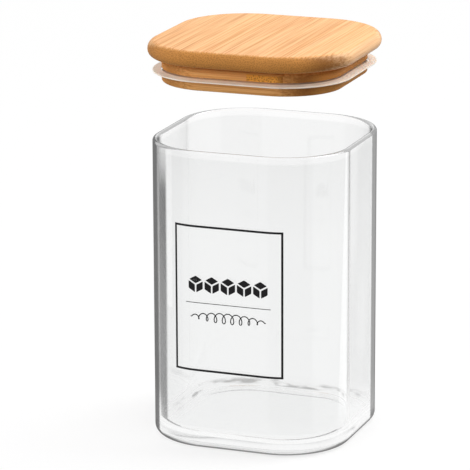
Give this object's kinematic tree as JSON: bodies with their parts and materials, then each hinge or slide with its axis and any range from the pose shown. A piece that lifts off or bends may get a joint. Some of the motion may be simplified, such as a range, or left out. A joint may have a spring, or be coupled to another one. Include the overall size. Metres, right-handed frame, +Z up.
{
  "type": "storage jar",
  "caption": "Clear square glass storage jar with round corners and a lift-off bamboo lid, sealed by a silicone ring in a groove round the plug.",
  "frame": {"origin": "middle of the flat ring under the base that the jar stands on", "axes": "+Z up along the jar and the lid's lift, -Y out of the printed front face, +X to the right seen from the front"},
  "size_m": [0.104, 0.104, 0.1975],
  "materials": {
    "clear_glass": "clear, smooth, fire-polished rim",
    "bamboo": "laminated bamboo strips, sanded and oiled, satin",
    "silicone": "translucent milky silicone, satin"
  },
  "bodies": {
    "jar": {"glass_jar": "clear_glass"},
    "lid": {"lid_board": "bamboo", "lid_plug": "bamboo", "sealing_ring": "silicone"}
  },
  "joints": [
    {"name": "lid_lift", "type": "slide", "parent": "jar", "child": "lid", "axis": [0, 0, 1], "range_m": [-0.0402, 0], "deforming": ["sealing_ring"]}
  ]
}
